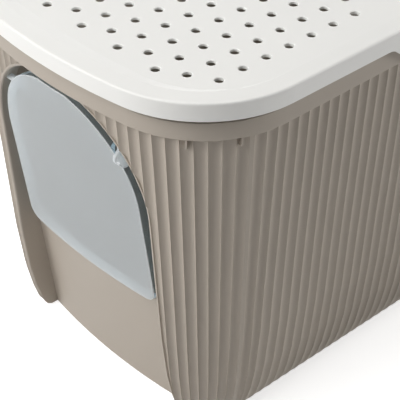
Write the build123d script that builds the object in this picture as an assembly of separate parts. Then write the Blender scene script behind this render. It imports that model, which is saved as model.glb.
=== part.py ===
"""Top entry litter box: a deep fluted tub, a perforated lid and a swinging front flap.

Millimetres. X runs across the box, the front with the flap faces -Y, Z is up, and the origin is
on the floor under the middle of the lid. Every outline in plan belongs to one family of shapes:
straight long sides, ends bowed outwards, and round corners tangent to both.
"""

from build123d import *
import math
import os

# Overall sizes
lid_width = 388.0
lid_length = 580.0
lid_height = 401.0

# Lid outline and shell
lid_corner = 112.0
lid_bow = 575.0
skirt_height = 19.2
skirt_taper = 0.104
skirt_wall = 2.4
crest_round = 2.0
crest_drop = 0.6
border_width = 17.5
dish_slope = 0.17
dish_drop = 2.4
dish_half_span = 178.0
plate_wall = 2.6

# Perforated field at the front of the lid
hole_diameter = 8.5
hole_rim_round = 0.8
hole_step_along = 13.46
hole_step_across = 24.45
hole_front_margin = 51.2
hole_side_margin = 42.0
hole_entry_gap = 36.0

# Entry hole at the back of the lid
entry_width = 252.0
entry_length = 226.0
entry_corner = 78.0
entry_back_margin = 40.0
entry_bead_width = 6.0
entry_bead_drop = 0.4
entry_bead_round = 1.4
entry_lip_depth = 12.0

# Side tabs of the lid
tab_depth = 21.0
tab_tip_length = 44.0
tab_flank = 26.0
tab_tip_round = 9.0
tab_root_round = 14.0

# Locating lip of the lid, inside the rim of the tub
lip_wall = 2.0
lip_depth = 9.0
lip_clearance = 0.6

# Rim and collar of the tub
rim_wall = 2.6
rim_seat_drop = 4.0
collar_inset = 9.0
collar_ledge = 3.4
collar_top_drop = 25.5
collar_height = 18.0
collar_round = 0.9

# Fluted wall of the tub
wall_step = 4.8
wall_front_step = 1.8
wall_corner = 97.2
wall_bow = 537.0
wall_thickness = 2.3
flute_depth = 3.0
side_flutes = 32
end_flutes = 34
flute_land = 4.3
land_past_corner = 25.1
flute_fade_height = 34.0
side_draft = 0.061
end_draft = 0.071
corner_draft = 0.069
foot_height = 110.0
foot_inset = 21.2
floor_thickness = 3.0

# Stiffening fins under the collar, as bearings from the end of the box
fin_bearings = (40.5, 68.0)
fin_thickness = 1.8
fin_height = 10.5

# Door recess in the front of the tub
recess_side_margin = 87.2
recess_top_drop = 40.2
recess_lip_width = 3.0
recess_lip_depth = 1.5
recess_lip_round = 2.0
recess_lip_round_start = 17.0
recess_wall = 2.5
panel_top_depth = 26.0
panel_lean = 0.126
panel_bow = 700.0
panel_wall = 2.5
sill_height = 134.0

# Flap
flap_side_gap = 12.2
flap_crown_drop = 47.9
flap_collar_gap = 6.5
flap_sill_gap = 7.5
flap_corner = 13.0
flap_top_depth = 11.5
flap_lean = 0.141
flap_bow = 736.0
flap_wall = 2.0
flap_edge_round = 1.3
flange_wall = 1.8
flange_depth = 10.0

# Hinge of the flap
hinge_drop = 86.5
hinge_depth = 30.5
pin_diameter = 6.0
pin_clearance = 0.08
pin_end_play = 0.5
boss_diameter = 11.0
boss_length = 8.0
ear_radius = 7.3
ear_wall = 1.6
ear_forward = 2.6
ear_drop = 4.5
ear_end_gap = 4.0

# Derived heights and reference outlines
front = -lid_length / 2
skirt_bottom = lid_height - skirt_height
tab_bottom = skirt_bottom - tab_depth
rim_top = lid_height - rim_seat_drop
collar_top = lid_height - collar_top_drop
collar_bottom = collar_top - collar_height
dish_floor = lid_height - dish_drop
lid_shape = (lid_width / 2, lid_length / 2, lid_bow, lid_corner)
shortest_corner = 4.0

# Derived sizes of the door, which hangs from the top of the box
recess_half_width = lid_width / 2 - recess_side_margin
recess_arch_height = lid_height - recess_top_drop - recess_half_width
panel_floor_depth = panel_top_depth + panel_lean * collar_bottom
flap_half_width = recess_half_width - flap_side_gap
flap_arch_height = lid_height - flap_crown_drop - flap_half_width
flap_top = collar_bottom - flap_collar_gap
flap_bottom = sill_height + flap_sill_gap
flap_floor_depth = flap_top_depth + flap_lean * collar_bottom
hinge_height = lid_height - hinge_drop
hinge_y = front + hinge_depth

# Derived counts of the perforated field, which ends short of the entry hole
hole_field_length = lid_length - hole_front_margin - hole_entry_gap - entry_back_margin - entry_length
hole_steps_along = int((hole_field_length - entry_bead_width) / hole_step_along)
hole_steps_across = int((lid_width - 2 * hole_side_margin) / hole_step_across)

skin = flute_depth + wall_thickness
foot_levels = (0.0, 2.5, 8.0, 18.0, 34.0, 60.0, foot_height)
through = 140.0
below_floor = -10.0


def inset(shape, amount):
    """The outline moved inwards by an amount, every radius following it."""
    half_width, half_length, bow, corner = shape
    smaller_corner = max(corner - amount, shortest_corner)
    return (half_width - amount, half_length - amount, bow - amount, smaller_corner)


collar_shape = inset(lid_shape, collar_inset)
rim_shape = inset(collar_shape, collar_ledge)
wall_shape = (
    collar_shape[0] - wall_step,
    collar_shape[1] - wall_front_step,
    wall_bow,
    wall_corner,
)


def joints_of(shape):
    """Corner centre, centre of the end bow, and the bearing where the corner meets the bow."""
    half_width, half_length, bow, corner = shape
    centre_x = half_width - corner
    bow_y = half_length - bow
    centre_y = bow_y + math.sqrt((bow - corner) ** 2 - centre_x**2)
    bearing = math.atan2(centre_x, centre_y - bow_y)
    return centre_x, centre_y, bow_y, bearing


def quarter_point(shape, station):
    """A point of the quarter outline between the middle of a side and the middle of an end."""
    section, share = station
    half_width, half_length, bow, corner = shape
    centre_x, centre_y, bow_y, bearing = joints_of(shape)
    if section == "side":
        return (half_width, centre_y * share)
    if section == "corner":
        angle = math.pi / 2 - (math.pi / 2 - bearing) * share
        return (centre_x + corner * math.sin(angle), centre_y + corner * math.cos(angle))
    angle = bearing * (1 - share)
    return (bow * math.sin(angle), bow_y + bow * math.cos(angle))


def station_at(shape, distance):
    """The station that lies a given distance along the quarter outline."""
    bow, corner = shape[2:]
    centre_x, centre_y, bow_y, bearing = joints_of(shape)
    corner_run = corner * (math.pi / 2 - bearing)
    bow_run = bow * bearing
    if distance <= centre_y:
        return ("side", distance / centre_y)
    if distance <= centre_y + corner_run:
        return ("corner", (distance - centre_y) / corner_run)
    return ("bow", min(1.0, (distance - centre_y - corner_run) / bow_run))


def closed_ring(quarter):
    """Mirrors the points of one quarter into the whole outline, counter-clockwise."""
    flipped = quarter[::-1]
    ring = list(quarter)
    ring += [(-x, y) for x, y in flipped[1:]]
    ring += [(-x, -y) for x, y in quarter[1:]]
    ring += [(x, -y) for x, y in flipped[1:-1]]
    return ring


def smooth_wire(shape, z):
    """The plain outline at height z, made of lines and arcs."""
    named = [("side", 1.0), ("corner", 0.5), ("corner", 1.0), ("bow", 1.0)]
    side, bend, joint, end = [quarter_point(shape, station) for station in named]

    def arc(*points):
        return Edge.make_three_point_arc(*[Vector(x, y, z) for x, y in points])

    def line(start, finish):
        return Edge.make_line(Vector(*start, z), Vector(*finish, z))

    def turned(point, sx, sy):
        return (sx * point[0], sy * point[1])

    edges = [
        arc(side, bend, joint),
        arc(joint, end, turned(joint, -1, 1)),
        arc(turned(joint, -1, 1), turned(bend, -1, 1), turned(side, -1, 1)),
        line(turned(side, -1, 1), turned(side, -1, -1)),
        arc(turned(side, -1, -1), turned(bend, -1, -1), turned(joint, -1, -1)),
        arc(turned(joint, -1, -1), turned(end, 1, -1), turned(joint, 1, -1)),
        arc(turned(joint, 1, -1), turned(bend, 1, -1), turned(side, 1, -1)),
        line(turned(side, 1, -1), side),
    ]
    return Wire(edges)


def flute_stations():
    """Stations of the flute crests on one quarter of the wall, and where the flat land starts."""
    centre_x, centre_y, bow_y, bearing = joints_of(wall_shape)
    land_start = centre_y + land_past_corner
    quarter_run = centre_y + wall_corner * (math.pi / 2 - bearing) + wall_bow * bearing
    side_count = side_flutes // 2
    end_count = end_flutes // 2
    side_run = [land_start * i / side_count for i in range(side_count + 1)]
    end_start = land_start + flute_land
    end_pitch = (quarter_run - end_start) / end_count
    end_run = [end_start + end_pitch * i for i in range(end_count + 1)]
    return [station_at(wall_shape, d) for d in side_run + end_run], side_count


def fluted_wire(shape, z):
    """The wall outline at height z: hollow flutes between sharp crests, flat on the four lands."""
    stations, land_index = flute_stations()
    ring = closed_ring([quarter_point(shape, station) for station in stations])
    quarter_edges = len(stations) - 1
    lands = {
        land_index,
        2 * quarter_edges - 1 - land_index,
        2 * quarter_edges + land_index,
        4 * quarter_edges - 1 - land_index,
    }
    fade = min(1.0, (z + 2.0) / flute_fade_height)
    depth = flute_depth * math.sin(fade * math.pi / 2)
    edges = []
    for i, start in enumerate(ring):
        a = Vector(*start, z)
        b = Vector(*ring[(i + 1) % len(ring)], z)
        if i in lands:
            edges.append(Edge.make_line(a, b))
            continue
        chord = b - a
        hollow = Vector(-chord.Y, chord.X, 0).normalized() * depth
        edges.append(Edge.make_three_point_arc(a, (a + b) * 0.5 + hollow, b))
    return Wire(edges)


def foot_curve(z):
    """How far the wall has turned in under the box at height z: a quarter ellipse."""
    if z >= foot_height:
        return 0.0
    drop = (foot_height - z) / foot_height
    return foot_inset * (1 - math.sqrt(max(0.0, 1 - drop**2)))


def wall_at(z, depth=0.0):
    """The crest outline of the wall at height z, or the outline a given depth inside it."""
    fall = collar_bottom - z
    turn = foot_curve(z)
    half_width = wall_shape[0] - side_draft * fall - turn
    half_length = wall_shape[1] - end_draft * fall - turn
    corner = wall_corner - corner_draft * fall - turn
    return inset((half_width, half_length, wall_bow - end_draft * fall, corner), depth)


def stack(wires):
    """A solid with straight walls between stacked outlines."""
    return Solid.make_loft(wires, ruled=True)


def prism(shape, low, high):
    """A straight-sided solid over a plain outline."""
    return stack([smooth_wire(shape, low), smooth_wire(shape, high)])


def arched_prism(half_width, arch_height, low, top):
    """A round-headed outline, cut level at the top, pushed back from before the box."""
    ahead = 20.0
    start = Plane((0, front - ahead, 0), x_dir=(1, 0, 0), z_dir=(0, -1, 0))
    jambs = Pos(0, (low + arch_height) / 2) * Rectangle(2 * half_width, arch_height - low)
    head = Pos(0, arch_height) * Circle(half_width)
    window = Pos(0, (low + top) / 2) * Rectangle(4 * half_width, top - low)
    return extrude(start * ((jambs + head) & window), amount=-(through + ahead))


def bowed_slab(depth_at_floor, lean, bow, thickness):
    """A leaning slab bowed to the front; its face stands a given depth behind the lid's front."""
    reach = 190.0
    start = -20.0
    rise = lid_height + 60.0
    sag = bow - math.sqrt(bow**2 - reach**2)
    near = front + depth_at_floor - lean * start
    far = near + thickness
    near_arc = Edge.make_three_point_arc(
        Vector(-reach, near + sag, start), Vector(0, near, start), Vector(reach, near + sag, start)
    )
    far_arc = Edge.make_three_point_arc(
        Vector(reach, far + sag, start), Vector(0, far, start), Vector(-reach, far + sag, start)
    )
    right = Edge.make_line(Vector(reach, near + sag, start), Vector(reach, far + sag, start))
    left = Edge.make_line(Vector(-reach, far + sag, start), Vector(-reach, near + sag, start))
    return Solid.extrude(Face(Wire([near_arc, right, far_arc, left])), Vector(0, -lean * rise, rise))


def rod(start, end, y, z, radius):
    """A round bar across the box, between two places along X."""
    bar = Cylinder(radius, abs(end - start), rotation=(0, 90, 0))
    return Pos((start + end) / 2, y, z) * bar


def door_half_width(half_width, arch_height, z):
    """Half the width of a door outline at height z."""
    if z <= arch_height:
        return half_width
    return math.sqrt(max(0.0, half_width**2 - (z - arch_height) ** 2))


def tub_block():
    """Fluted wall, collar and rim as one solid block."""
    wall = stack([fluted_wire(wall_at(z), z) for z in foot_levels + (collar_bottom,)])
    collar = prism(collar_shape, collar_bottom, collar_top)
    faces = collar.faces().sort_by(Axis.Z)
    collar = fillet(faces[0].edges() + faces[-1].edges(), collar_round)
    rim = prism(rim_shape, collar_bottom + collar_round, rim_top)
    return Part() + wall + collar + rim


def tub_room():
    """The space inside the tub, behind the lining of the recess."""
    levels = [(z + floor_thickness, wall_at(z, skin)) for z in foot_levels]
    levels.append((collar_bottom, wall_at(collar_bottom, skin)))
    levels.append((collar_top, inset(rim_shape, rim_wall)))
    levels.append((rim_top + 1.0, inset(rim_shape, rim_wall)))
    room = stack([smooth_wire(shape, z) for z, shape in levels])
    lining = door_prism(recess_half_width + recess_wall, below_floor, collar_bottom + recess_wall)
    return room - (lining & in_front_of_panel(panel_wall))


def in_front_of_panel(behind):
    """Everything in front of a surface that lies a given distance behind the panel's face."""
    return bowed_slab(panel_floor_depth - through, panel_lean, panel_bow, through + behind)


def door_prism(half_width, low, top):
    """The recess outline, round-headed and cut level at the top, pushed back from before the box."""
    return arched_prism(half_width, recess_arch_height, low, top)


def lip_core():
    """Everything inside the smooth surface of the lip, between the crests and the flute bottoms."""
    levels = (below_floor,) + foot_levels + (collar_bottom + 1.0,)
    return stack([smooth_wire(wall_at(max(z, 0.0), recess_lip_depth), z) for z in levels])


def lip_prism(low):
    """The outline of the lip round the recess, pushed back from before the box."""
    return door_prism(recess_half_width + recess_lip_width, low, collar_bottom)


def lip_edges(tub):
    """The edges where the lip meets the side walls of the recess, down to near the floor."""
    chosen = []
    for edge in tub.edges():
        middle = edge.position_at(0.5)
        lowest = min(edge.position_at(0).Z, edge.position_at(1).Z)
        if lowest < recess_lip_round_start or middle.Z > collar_bottom - 1.0:
            continue
        on_outline = door_half_width(recess_half_width, recess_arch_height, middle.Z)
        panel_y = front + panel_floor_depth - panel_lean * middle.Z
        along = edge.tangent_at(0.5)
        if abs(abs(middle.X) - on_outline) < 0.01 and middle.Y < panel_y and abs(along.Y) < 0.8:
            chosen.append(edge)
    return chosen


def fins():
    """Small triangular gussets between the wall and the collar at the corners."""
    centre_x, centre_y = joints_of(wall_shape)[:2]
    root = wall_corner - skin + 1.0
    tip = wall_corner + 2 * wall_step
    embedded_top = collar_bottom + 2 * collar_round
    profile = make_face(
        Polyline(
            (root, embedded_top),
            (tip, embedded_top),
            (tip, collar_bottom - 1.0),
            (wall_corner - corner_draft * fin_height, collar_bottom - fin_height),
            (root, collar_bottom - fin_height),
            close=True,
        )
    )
    plate = extrude(Plane.XZ * profile, amount=fin_thickness / 2, both=True)
    under_collar = prism(inset(collar_shape, collar_round), 0.0, collar_top)
    gussets = []
    for sx, sy in ((1, 1), (-1, 1), (-1, -1), (1, -1)):
        for bearing in fin_bearings:
            across = sx * math.sin(math.radians(bearing))
            along = sy * math.cos(math.radians(bearing))
            turn = math.degrees(math.atan2(along, across))
            gussets.append((Pos(sx * centre_x, sy * centre_y, 0) * Rot(0, 0, turn) * plate) & under_collar)
    return gussets


def pin_reach():
    """How far the hinge pins reach from the middle, into the side walls of the recess."""
    return door_half_width(recess_half_width, recess_arch_height, hinge_height) + recess_wall - 0.3


def make_tub():
    """The tub: walls and collar with recess, sill panel, doorway, hinge holes and fins."""
    core = lip_core()
    tub = tub_block() + (lip_prism(0.0) & core) - tub_room() - (lip_prism(below_floor) - core)
    tub -= door_prism(recess_half_width, below_floor, collar_bottom) & in_front_of_panel(0.0)
    tub -= door_prism(recess_half_width, sill_height, collar_bottom) & in_front_of_panel(
        panel_wall + 12.0
    )
    tub = fillet(lip_edges(tub), recess_lip_round)
    bore_end = pin_reach() + pin_end_play
    bore_start = bore_end - 4 * recess_wall
    bore = pin_diameter / 2 + pin_clearance
    for side in (-1, 1):
        tub -= rod(side * bore_start, side * bore_end, hinge_y, hinge_height, bore)
    return tub + fins()


def flap_plate(margin, face_depth, thickness):
    """The bowed plate of the flap, its outline drawn in by a margin all round."""
    half_width = flap_half_width - margin
    outline = arched_prism(half_width, flap_arch_height, flap_bottom + margin, flap_top - margin)
    corners = outline.edges().filter_by(Axis.Y).sort_by(Axis.Z)[:2]
    outline = fillet(corners, flap_corner - margin)
    return outline & bowed_slab(face_depth, flap_lean, flap_bow, thickness)


def make_flap():
    """The flap: a shallow dish, its flange turned back all round, with pins, bosses and an ear."""
    flap = flap_plate(0.0, flap_floor_depth, flange_depth)
    face = min(flap.faces().sort_by(SortBy.AREA)[-2:], key=lambda side: side.center().Y)
    flap = fillet(face.edges(), flap_edge_round)
    flap -= flap_plate(flange_wall, flap_floor_depth + flap_wall, flange_depth)
    outer = door_half_width(flap_half_width, flap_arch_height, hinge_height)
    inner = outer - flange_wall
    for side in (-1, 1):
        flap += rod(side * inner, side * pin_reach(), hinge_y, hinge_height, pin_diameter / 2)
        boss_end = side * (inner - boss_length)
        flap += rod(boss_end, side * outer, hinge_y, hinge_height, boss_diameter / 2)
    return flap + ear(inner, outer + ear_wall)


def ear(start, mouth_start):
    """The open cup beside the right pin, from the flange almost to the side of the recess."""
    y = hinge_y - ear_forward
    z = hinge_height - ear_drop
    reach = door_half_width(recess_half_width, recess_arch_height, z + ear_radius) - ear_end_gap
    beyond = reach + 1.0
    cup = rod(start, reach, y, z, ear_radius)
    cup -= rod(mouth_start, beyond, y, z, ear_radius - ear_wall)
    mouth = Box(beyond - mouth_start, 2 * ear_radius, 2 * ear_radius)
    middle = Pos((mouth_start + beyond) / 2, y - ear_radius, z + ear_radius)
    return cup - middle * Rot(45, 0, 0) * mouth


def lid_room():
    """The space under the lid plate, less the pan that drops into the rim and its locating lip."""
    at_bottom = skirt_taper * (skirt_height + tab_depth) + skirt_wall
    room = stack(
        [
            smooth_wire(inset(lid_shape, at_bottom), tab_bottom - 1.0),
            smooth_wire(inset(lid_shape, skirt_wall), rim_top),
        ]
    )
    lip_inset = collar_inset + collar_ledge + rim_wall + lip_clearance
    pan = prism(inset(lid_shape, lip_inset), rim_top - lip_depth, rim_top + 1.0)
    under_pan = prism(inset(lid_shape, lip_inset + lip_wall), rim_top - lip_depth - 1.0, rim_top + 0.5)
    return room - (pan - (under_pan - above_trough(plate_wall)))


def above_trough(depth):
    """Everything above a surface a given depth under the plate, which sags along the middle."""
    radius = (dish_half_span**2 / dish_drop + dish_drop) / 2 + depth
    reach = 1.1 * lid_width / 2
    low = dish_floor - depth
    edge = low + radius - math.sqrt(radius**2 - reach**2)
    top = lid_height + 10.0
    sag = ThreePointArc((-reach, edge), (0, low), (reach, edge))
    profile = make_face(sag + Polyline((reach, edge), (reach, top), (-reach, top), (-reach, edge)))
    return extrude(Plane.XZ * profile, amount=lid_length, both=True)


def dish():
    """The dish in the top of the lid: a shallow trough with sloping ends inside a soft border."""
    levels = (dish_floor - 0.5, lid_height + 1.0)
    insets = [border_width + (lid_height - z) / dish_slope for z in levels]
    slopes = stack([smooth_wire(inset(lid_shape, w), z) for w, z in zip(insets, levels)])
    return slopes & above_trough(0.0)


def below_skirt():
    """What is trimmed off under the skirt: everything but the tab in the middle of each side."""
    far = lid_length
    under = tab_bottom - 10.0
    half_tip = tab_tip_length / 2
    half_root = half_tip + tab_flank
    outline = make_face(
        Polyline(
            (-far, under),
            (-far, skirt_bottom),
            (-half_root, skirt_bottom),
            (-half_tip, tab_bottom),
            (half_tip, tab_bottom),
            (half_root, skirt_bottom),
            (far, skirt_bottom),
            (far, under),
            close=True,
        )
    )
    roots = [v for v in outline.vertices() if abs(abs(v.X) - half_root) < 0.01]
    outline = fillet(roots, tab_root_round)
    tips = [v for v in outline.vertices() if abs(abs(v.X) - half_tip) < 0.01]
    outline = fillet(tips, tab_tip_round)
    return extrude(Plane.YZ * outline, amount=lid_width, both=True)


def perforations():
    """The staggered field of round holes, its four corner holes left out."""
    drills = []
    drill = Cylinder(hole_diameter / 2, 6 * plate_wall)
    for i in range(hole_steps_along + 1):
        for j in range(hole_steps_across + 1):
            on_corner = i in (0, hole_steps_along) and j in (0, hole_steps_across)
            if (i + j) % 2 or on_corner:
                continue
            x = (j - hole_steps_across / 2) * hole_step_across
            y = front + hole_front_margin + i * hole_step_along
            drills.append(Pos(x, y, dish_floor) * drill)
    return drills


def entry_outline(margin):
    """The round-cornered outline of the entry hole, grown by a margin."""
    return RectangleRounded(
        entry_width + 2 * margin, entry_length + 2 * margin, entry_corner + margin
    )


def lid_block():
    """The lid as one block: tapered skirt, rounded crest and a border that rises a little inwards."""
    tail_drop = 3.0
    bottom = tab_bottom - tail_drop
    crest = lid_height - crest_drop
    shoulder = crest - 1.5 * crest_round
    crown_width = 1.7 * border_width
    crown_top = crest + crest_drop * crown_width / border_width
    block = stack(
        [
            smooth_wire(inset(lid_shape, skirt_taper * (shoulder - bottom)), bottom),
            smooth_wire(lid_shape, shoulder),
            smooth_wire(lid_shape, crest),
            smooth_wire(inset(lid_shape, crown_width), crown_top),
        ]
    )
    crest_edges = [e for e in block.edges() if abs(e.center().Z - crest) < 0.01]
    return Part() + fillet(crest_edges, crest_round)


def make_lid():
    """The lid: dished plate with skirt and tabs, perforated field, entry hole and locating lip."""
    lid = lid_block() - dish() - lid_room() - below_skirt()
    here = Pos(0, lid_length / 2 - entry_back_margin - entry_length / 2, 0)
    bead_bottom = dish_floor - 1.0
    bead_top = lid_height - entry_bead_drop
    bead = extrude(Pos(0, 0, bead_bottom) * entry_outline(entry_bead_width), bead_top - bead_bottom)
    bead = fillet(bead.faces().sort_by(Axis.Z)[-1].edges(), entry_bead_round)
    lip_bottom = dish_floor - plate_wall - entry_lip_depth
    lip = extrude(Pos(0, 0, lip_bottom) * entry_outline(plate_wall), dish_floor - lip_bottom)
    hole = extrude(Pos(0, 0, lip_bottom - 1.0) * entry_outline(0.0), lid_height)
    lid = lid + here * bead + here * lip - here * hole
    lid -= perforations()
    return fillet(hole_rims(lid), hole_rim_round)


def hole_rims(lid):
    """The upper edges of the round holes."""
    circumference = math.pi * hole_diameter
    rims = [e for e in lid.edges() if abs(e.length - circumference) < 0.5]
    return [e for e in rims if e.center().Z > dish_floor - 0.5]


os.makedirs("parts", exist_ok=True)
for name, build in (("tub", make_tub), ("lid", make_lid), ("flap", make_flap)):
    export_step(build(), f"parts/{name}.step")
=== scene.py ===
"""Looks for the top entry litter box: materials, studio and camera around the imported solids."""

import math

import bpy
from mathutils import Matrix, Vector

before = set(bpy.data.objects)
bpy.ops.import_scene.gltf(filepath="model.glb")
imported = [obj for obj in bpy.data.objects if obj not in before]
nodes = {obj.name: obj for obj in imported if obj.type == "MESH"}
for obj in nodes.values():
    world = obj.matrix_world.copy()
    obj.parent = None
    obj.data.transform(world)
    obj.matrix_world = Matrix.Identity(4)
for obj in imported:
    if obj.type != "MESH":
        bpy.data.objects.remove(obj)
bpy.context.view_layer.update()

# Colours as 8-bit display values
TAUPE = (181, 171, 159)
WHITE = (245, 244, 240)
FROST = (244, 246, 247)

# Gloss of the plastics
PLASTIC_IOR = 1.46
TUB_ROUGHNESS = 0.5
TUB_SPECULAR = 0.35
LID_ROUGHNESS = 0.32
LID_SPECULAR = 0.5
FLAP_ROUGHNESS = 0.32
FLAP_SPECULAR = 0.5

# Slow drift of colour over a moulding: size, share by which it varies, and the noise behind it
OPAQUE_DRIFT_SCALE = 9.0
OPAQUE_DRIFT_SPREAD = 0.012
FROST_DRIFT_SCALE = 6.0
FROST_DRIFT_SPREAD = 0.015
DRIFT_DETAIL = 4.0
DRIFT_ROUGHNESS = 0.55
DRIFT_START = 0.3
DRIFT_END = 0.7

# Fine grain of the mould
OPAQUE_GRAIN_SCALE = 900.0
OPAQUE_GRAIN_STRENGTH = 0.15
FROST_GRAIN_SCALE = 700.0
FROST_GRAIN_STRENGTH = 0.1
GRAIN_DETAIL = 3.0
GRAIN_DEPTH = 0.0002

# How much of the light each part of the flap stops, as a share
FACE_COVER = 0.54
INSIDE_COVER = 1.0
EDGE_COVER = 0.9
RIM_COVER = 0.08

# What the clear share of the flap lets through, on its face and round its rim
FACE_TINT = (0.92, 0.975, 1.0)
RIM_TINT = (0.84, 0.945, 1.0)
BACK_LIGHT_SHARE = 0.45

# Outline of the flap in metres: straight sides below an arch, whose centre is at the arch height
FLAP_MIDDLE = (0.0, 0.0, 0.245)
FLAP_HALF_WIDTH = 0.0950
FLAP_ARCH_HEIGHT = 0.2585

# The ear beside the right pin: its axis, its reach round the axis, and where it starts across
EAR_Y = -0.2621
EAR_Z = 0.3100
EAR_RADIUS = 0.0076
EAR_START = 0.0745

# Limits that sort the flap's surfaces by the way they face
INWARD_LIMIT = -0.02
OUTWARD_LIMIT = 0.045
ROUND_LOW = 0.25
ROUND_HIGH = 0.95


def srgb(red, green, blue):
    """Linear colour from 8-bit display values."""
    out = []
    for value in (red, green, blue):
        v = value / 255
        out.append(v / 12.92 if v <= 0.04045 else ((v + 0.055) / 1.055) ** 2.4)
    return (*out, 1.0)


class Graph:
    """A small helper for building a node graph."""

    def __init__(self, tree, output):
        self.nodes = tree.nodes
        self.links = tree.links
        self.nodes.clear()
        self.output = self.nodes.new(output)

    def add(self, kind, **values):
        """A node with values for the inputs that it has, spaces in their names as underscores."""
        node = self.nodes.new(kind)
        for key, value in values.items():
            key = key.replace("_", " ")
            if key in node.inputs:
                node.inputs[key].default_value = value
        return node

    def join(self, source, socket, target, into):
        """A link between two nodes."""
        self.links.new(source.outputs[socket], target.inputs[into])

    def maths(self, operation, *values):
        """One sum on plain numbers and on the outputs of other nodes."""
        return self.sum_node("ShaderNodeMath", operation, values).outputs["Value"]

    def vectors(self, operation, *values):
        """One sum on vectors."""
        return self.sum_node("ShaderNodeVectorMath", operation, values)

    def sum_node(self, kind, operation, values):
        """A node for sums, its inputs set or linked in order."""
        node = self.nodes.new(kind)
        node.operation = operation
        for slot, value in enumerate(values):
            if isinstance(value, bpy.types.NodeSocket):
                self.links.new(value, node.inputs[slot])
            else:
                node.inputs[slot].default_value = value
        return node

    def mixed(self, share, low, high):
        """A number that goes from low to high with the share."""
        return self.maths("MULTIPLY_ADD", share, high - low, low)

    def seen(self):
        """1 on the rays that show the background: straight, mirrored or through something clear."""
        rays = self.nodes.new("ShaderNodeLightPath").outputs
        mirrored = self.maths("MAXIMUM", rays["Is Camera Ray"], rays["Is Glossy Ray"])
        return self.maths("MAXIMUM", mirrored, rays["Is Transmission Ray"])


def new_material(name):
    """A material and the graph of its nodes."""
    material = bpy.data.materials.new(name)
    material.use_nodes = True
    return material, Graph(material.node_tree, "ShaderNodeOutputMaterial")


def mottled(graph, colour, scale, spread):
    """A colour that drifts a little over the surface, as moulded plastic does."""
    place = graph.nodes.new("ShaderNodeTexCoord")
    noise = graph.add("ShaderNodeTexNoise", Scale=scale, Detail=DRIFT_DETAIL, Roughness=DRIFT_ROUGHNESS)
    graph.join(place, "Object", noise, "Vector")
    ramp = graph.nodes.new("ShaderNodeValToRGB")
    base = srgb(*colour)[:3]
    darker, lighter = ramp.color_ramp.elements
    darker.position = DRIFT_START
    lighter.position = DRIFT_END
    darker.color = [c * (1 - spread) for c in base] + [1.0]
    lighter.color = [min(1.0, c * (1 + spread)) for c in base] + [1.0]
    graph.join(noise, "Fac", ramp, "Fac")
    return place, ramp


def grained(graph, place, shader, scale, strength):
    """The fine grain of a satin mould as a faint bump."""
    noise = graph.add("ShaderNodeTexNoise", Scale=scale, Detail=GRAIN_DETAIL)
    graph.join(place, "Object", noise, "Vector")
    bump = graph.add("ShaderNodeBump", Strength=strength, Distance=GRAIN_DEPTH)
    graph.join(noise, "Fac", bump, "Height")
    graph.join(bump, "Normal", shader, "Normal")


def glossy(graph, ramp, roughness, specular):
    """The plastic's own surface, in the colour of the ramp."""
    shader = graph.add("ShaderNodeBsdfPrincipled", Roughness=roughness, IOR=PLASTIC_IOR)
    shader.inputs["Specular IOR Level"].default_value = specular
    graph.join(ramp, "Color", shader, "Base Color")
    return shader


def plastic(name, colour, roughness, specular):
    """Opaque moulded plastic."""
    material, graph = new_material(name)
    place, ramp = mottled(graph, colour, OPAQUE_DRIFT_SCALE, OPAQUE_DRIFT_SPREAD)
    shader = glossy(graph, ramp, roughness, specular)
    grained(graph, place, shader, OPAQUE_GRAIN_SCALE, OPAQUE_GRAIN_STRENGTH)
    graph.join(shader, "BSDF", graph.output, "Surface")
    return material


def fittings(graph, spot):
    """1 on what stands outside the flap's outline, its pins and ear, and on the flange in the ear."""
    above = graph.maths("SUBTRACT", spot["Z"], FLAP_ARCH_HEIGHT)
    rise = graph.maths("MAXIMUM", above, 0.0)
    rise_squared = graph.maths("MULTIPLY", rise, rise)
    squared = graph.maths("MULTIPLY_ADD", spot["X"], spot["X"], rise_squared)
    outside = graph.maths("GREATER_THAN", squared, FLAP_HALF_WIDTH**2)
    from_ear_y = graph.maths("SUBTRACT", spot["Y"], EAR_Y)
    from_ear_z = graph.maths("SUBTRACT", spot["Z"], EAR_Z)
    ear_z_squared = graph.maths("MULTIPLY", from_ear_z, from_ear_z)
    ear_squared = graph.maths("MULTIPLY_ADD", from_ear_y, from_ear_y, ear_z_squared)
    beside_ear = graph.maths("LESS_THAN", ear_squared, EAR_RADIUS**2)
    at_right = graph.maths("GREATER_THAN", spot["X"], EAR_START)
    on_ear = graph.maths("MULTIPLY", beside_ear, at_right)
    return graph.maths("MAXIMUM", outside, on_ear)


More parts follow.
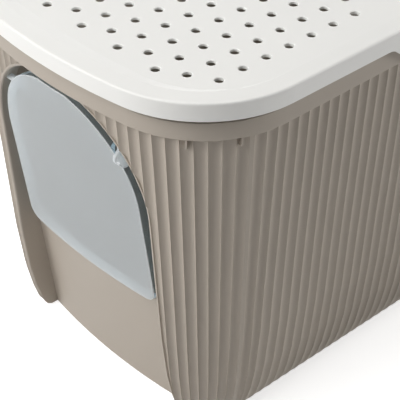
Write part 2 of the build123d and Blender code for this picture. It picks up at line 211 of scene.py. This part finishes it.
def frost_masks(graph, place):
    """The cover of each part of the flap, and 1 on the outside of its flange."""
    normal = graph.nodes.new("ShaderNodeNewGeometry").outputs["True Normal"]
    across = graph.vectors("MULTIPLY", normal, (1.0, 0.0, 1.0)).outputs["Vector"]
    outward = graph.vectors("SUBTRACT", place.outputs["Object"], FLAP_MIDDLE).outputs["Vector"]
    outfacing = graph.vectors("DOT_PRODUCT", across, outward).outputs["Value"]
    facing = graph.nodes.new("ShaderNodeSeparateXYZ")
    graph.links.new(normal, facing.inputs["Vector"])
    turned = graph.maths("ABSOLUTE", facing.outputs["Y"])
    inside = graph.maths("LESS_THAN", outfacing, INWARD_LIMIT)
    rim = graph.maths("GREATER_THAN", outfacing, OUTWARD_LIMIT)
    round_low = graph.maths("GREATER_THAN", turned, ROUND_LOW)
    round_high = graph.maths("LESS_THAN", turned, ROUND_HIGH)
    rounded = graph.maths("MULTIPLY", round_low, round_high)
    on_face = graph.mixed(inside, FACE_COVER, INSIDE_COVER)
    clearer = graph.maths("MULTIPLY", rim, RIM_COVER - FACE_COVER)
    on_side = graph.maths("ADD", on_face, clearer)
    spot = graph.nodes.new("ShaderNodeSeparateXYZ")
    graph.join(place, "Object", spot, "Vector")
    dense = graph.maths("MAXIMUM", rounded, fittings(graph, spot.outputs))
    to_edge = graph.maths("SUBTRACT", EDGE_COVER, on_side)
    return graph.maths("MULTIPLY_ADD", dense, to_edge, on_side), rim


def tinted(graph, share, low, high):
    """A colour that goes from low to high with the share."""
    tint = graph.nodes.new("ShaderNodeMix")
    tint.data_type = "RGBA"
    for socket, colour in (("A", low), ("B", high)):
        chosen = next(i for i in tint.inputs if i.name == socket and i.type == "RGBA")
        chosen.default_value = (*colour, 1.0)
    graph.links.new(share, tint.inputs["Factor"])
    return next(o for o in tint.outputs if o.type == "RGBA")


def frosted(name, colour):
    """Thin frosted plastic: partly clear on the face, denser inside the flange, on the rounded edge and
    on the pins and ear, clearer and more bluish round the outside of the flange."""
    material, graph = new_material(name)
    place, ramp = mottled(graph, colour, FROST_DRIFT_SCALE, FROST_DRIFT_SPREAD)
    cover, rim = frost_masks(graph, place)
    shader = glossy(graph, ramp, FLAP_ROUGHNESS, FLAP_SPECULAR)
    grained(graph, place, shader, FROST_GRAIN_SCALE, FROST_GRAIN_STRENGTH)
    back_light = graph.nodes.new("ShaderNodeBsdfTranslucent")
    graph.join(ramp, "Color", back_light, "Color")
    body = graph.add("ShaderNodeMixShader", Fac=BACK_LIGHT_SHARE)
    graph.join(shader, "BSDF", body, 1)
    graph.join(back_light, "BSDF", body, 2)
    clear = graph.nodes.new("ShaderNodeBsdfTransparent")
    graph.links.new(tinted(graph, rim, FACE_TINT, RIM_TINT), clear.inputs["Color"])
    film = graph.nodes.new("ShaderNodeMixShader")
    graph.links.new(cover, film.inputs["Fac"])
    graph.join(clear, "BSDF", film, 1)
    graph.join(body, "Shader", film, 2)
    graph.join(film, "Shader", graph.output, "Surface")
    return material


def dress(node, material):
    """Gives a solid its finish."""
    mesh = nodes[node].data
    mesh.materials.clear()
    mesh.materials.append(material)


dress("tub", plastic("taupe_plastic", TAUPE, TUB_ROUGHNESS, TUB_SPECULAR))
dress("lid", plastic("white_plastic", WHITE, LID_ROUGHNESS, LID_SPECULAR))
dress("flap", frosted("frosted_plastic", FROST))

# Soft boxes: place, width, height and watts, all aimed at the middle of the box
LAMP_TARGET = Vector((0.0, -0.05, 0.22))
LAMPS = {
    "left": ((-1.18, -2.09, 1.32), 1.2, 1.2, 29.5),
    "front": ((0.15, -1.72, 2.21), 1.2, 1.2, 23.0),
    "side": ((1.57, 1.82, 1.11), 1.2, 1.2, 22.0),
    "top": ((-0.3, 0.1, 2.6), 1.6, 1.6, 18.0),
    "rear": ((-2.2, 1.2, 0.45), 1.2, 0.8, 12.0),
}


def soft_light(name, place, width, height, watts):
    """A rectangular soft box that looks at the target."""
    data = bpy.data.lights.new(name, "AREA")
    data.shape = "RECTANGLE"
    data.size = width
    data.size_y = height
    data.energy = watts
    lamp = bpy.data.objects.new(name, data)
    lamp.location = place
    lamp.rotation_euler = (LAMP_TARGET - Vector(place)).to_track_quat("-Z", "Y").to_euler()
    bpy.context.scene.collection.objects.link(lamp)


for lamp_name, lamp_values in LAMPS.items():
    soft_light(lamp_name, *lamp_values)

# The world: white where it is seen, and faint as a light
WORLD_LEVEL = 0.01
world = bpy.data.worlds.new("studio")
bpy.context.scene.world = world
world.use_nodes = True
sky = Graph(world.node_tree, "ShaderNodeOutputWorld")
background = sky.add("ShaderNodeBackground", Color=(1.0, 1.0, 1.0, 1.0))
strength = sky.add("ShaderNodeMapRange", To_Min=WORLD_LEVEL, To_Max=1.0)
sky.links.new(sky.seen(), strength.inputs["Value"])
sky.join(strength, "Result", background, "Strength")
sky.join(background, "Background", sky.output, "Surface")

# The floor: pale paper that keeps the shadow, with a glow where it is seen, full far from the box
FLOOR_SIZE = 12.0
FLOOR_DROP = 0.0002
FLOOR_COLOUR = (0.9, 0.9, 0.9, 1.0)
FLOOR_GLOW = 0.6
FLOOR_NEAR = 0.7
FLOOR_FAR = 2.0
bpy.ops.mesh.primitive_plane_add(size=FLOOR_SIZE, location=(0.0, 0.0, -FLOOR_DROP))
floor = bpy.context.object
floor.name = "studio_floor"
floor_paper, ground = new_material("floor_paper")
paper = ground.add("ShaderNodeBsdfDiffuse", Color=FLOOR_COLOUR)
glow = ground.add("ShaderNodeEmission", Color=(1.0, 1.0, 1.0, 1.0))
floor_place = ground.nodes.new("ShaderNodeTexCoord").outputs["Object"]
distance = ground.vectors("LENGTH", floor_place).outputs["Value"]
fade = ground.add("ShaderNodeMapRange", From_Min=FLOOR_NEAR, From_Max=FLOOR_FAR, To_Min=FLOOR_GLOW)
fade.interpolation_type = "SMOOTHSTEP"
ground.links.new(distance, fade.inputs["Value"])
level = ground.maths("MULTIPLY", ground.seen(), fade.outputs["Result"])
ground.links.new(level, glow.inputs["Strength"])
both = ground.nodes.new("ShaderNodeAddShader")
ground.join(paper, "BSDF", both, 0)
ground.join(glow, "Emission", both, 1)
ground.join(both, "Shader", ground.output, "Surface")
floor.data.materials.append(floor_paper)

# The camera, with its elevation and azimuth in degrees and its lens in millimetres
CAMERA_PLACE = (0.9149, -0.9265, 1.0670)
CAMERA_ELEVATION = 36.98
CAMERA_AZIMUTH = 47.93
CAMERA_LENS = 136.2
CAMERA_SENSOR = 36.0
camera_data = bpy.data.cameras.new("camera")
camera_data.lens = CAMERA_LENS
camera_data.sensor_width = CAMERA_SENSOR
camera = bpy.data.objects.new("camera", camera_data)
camera.location = CAMERA_PLACE
camera.rotation_euler = (
    math.radians(90 - CAMERA_ELEVATION),
    0.0,
    math.radians(CAMERA_AZIMUTH),
)
bpy.context.scene.collection.objects.link(camera)
bpy.context.scene.camera = camera
bpy.context.scene.view_settings.view_transform = "Standard"
